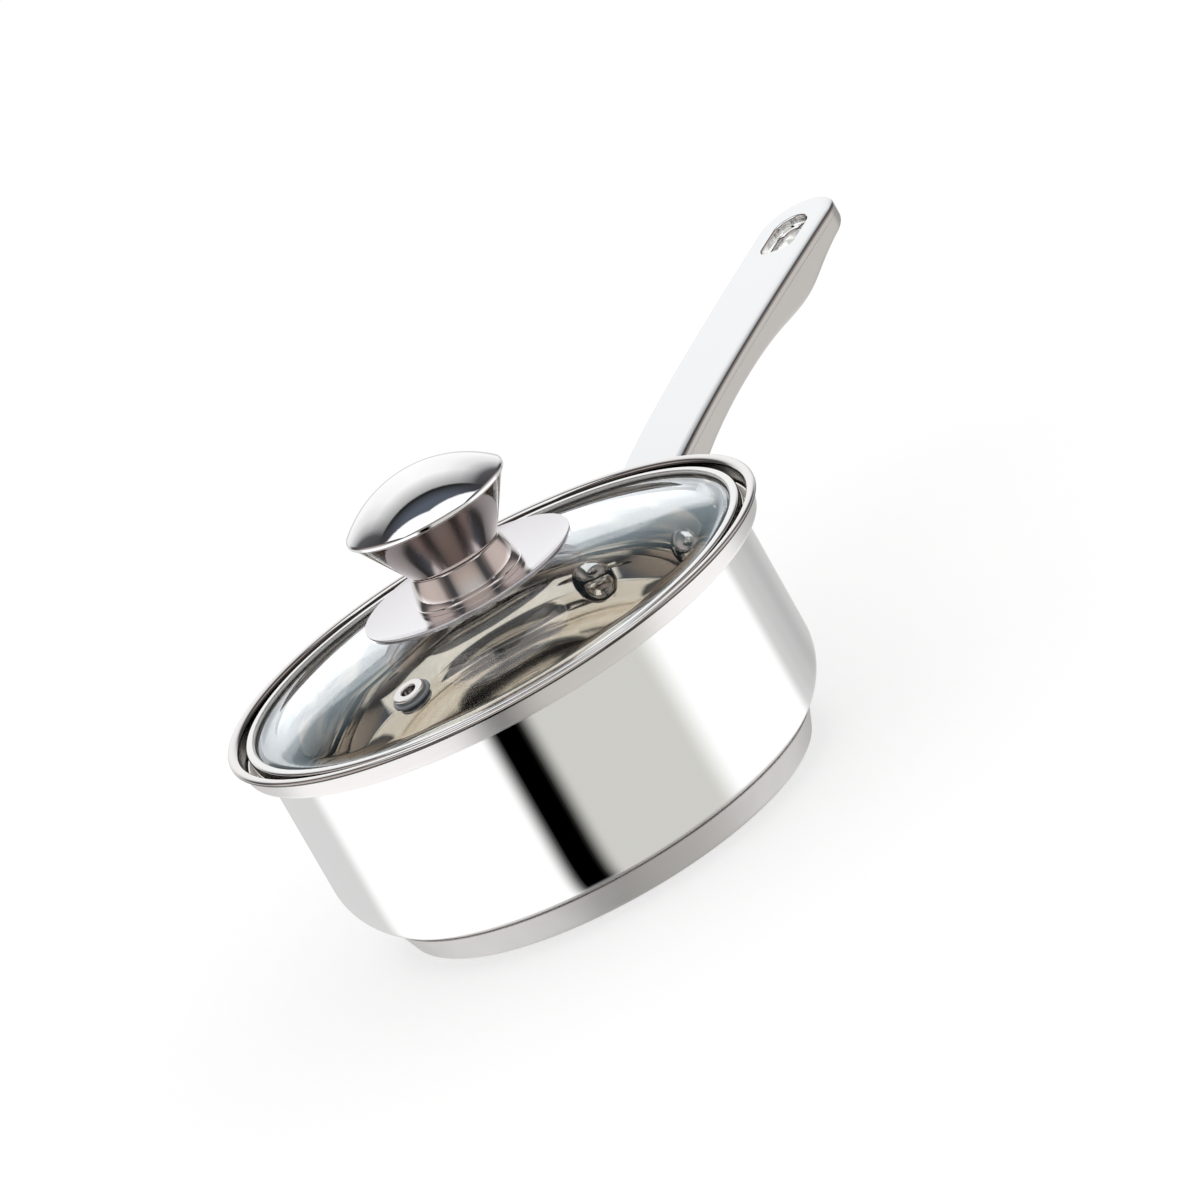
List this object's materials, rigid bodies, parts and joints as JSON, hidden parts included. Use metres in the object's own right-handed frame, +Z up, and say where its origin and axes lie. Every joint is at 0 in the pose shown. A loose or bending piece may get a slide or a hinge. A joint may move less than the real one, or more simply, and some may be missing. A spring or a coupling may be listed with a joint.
{
  "type": "saucepan with glass lid",
  "caption": "Polished steel saucepan with a bonded base and a hollow side handle, and a domed glass lid with a steam vent and a conical steel knob that lifts off.",
  "frame": {"origin": "centre of the base's underside, on the pan's axis, at the level it stands on", "axes": "+Z up along the pan's axis, +X along the handle, away from the pan, +Y completes a right-handed frame"},
  "size_m": [0.3338, 0.1762, 0.1276],
  "materials": {
    "polished_steel": "mirror polished",
    "handle_steel": "mirror polished",
    "satin_steel": "satin, fine grain",
    "aluminium_core": "mill finish",
    "lid_steel": "polished",
    "knob_steel": "mirror polished",
    "screw_steel": "plain",
    "clear_glass": "clear, tempered",
    "clear_silicone": "soft, slightly cloudy",
    "dark_silicone": "soft, matt"
  },
  "bodies": {
    "pan": {"pan_body": "polished_steel", "base_core": "aluminium_core", "base_cap": "satin_steel", "handle_bracket": "handle_steel", "rivet_left": "polished_steel", "rivet_right": "polished_steel", "handle_cover": "handle_steel", "handle_tray": "handle_steel"},
    "lid": {"lid_rim": "lid_steel", "rim_seal": "clear_silicone", "lid_glass": "clear_glass", "vent_eyelet": "lid_steel", "vent_seal": "dark_silicone", "vent_back_ring": "lid_steel", "knob_plate": "knob_steel", "knob_seal": "dark_silicone", "knob_collar": "knob_steel", "knob_body": "knob_steel", "knob_cap": "knob_steel", "knob_insert": "screw_steel", "washer_seal": "dark_silicone", "knob_washer": "screw_steel", "knob_screw": "screw_steel"}
  },
  "joints": [
    {"name": "lid_lift", "type": "slide", "parent": "pan", "child": "lid", "axis": [0, 0, 1], "range_m": [0, 0.12]}
  ]
}
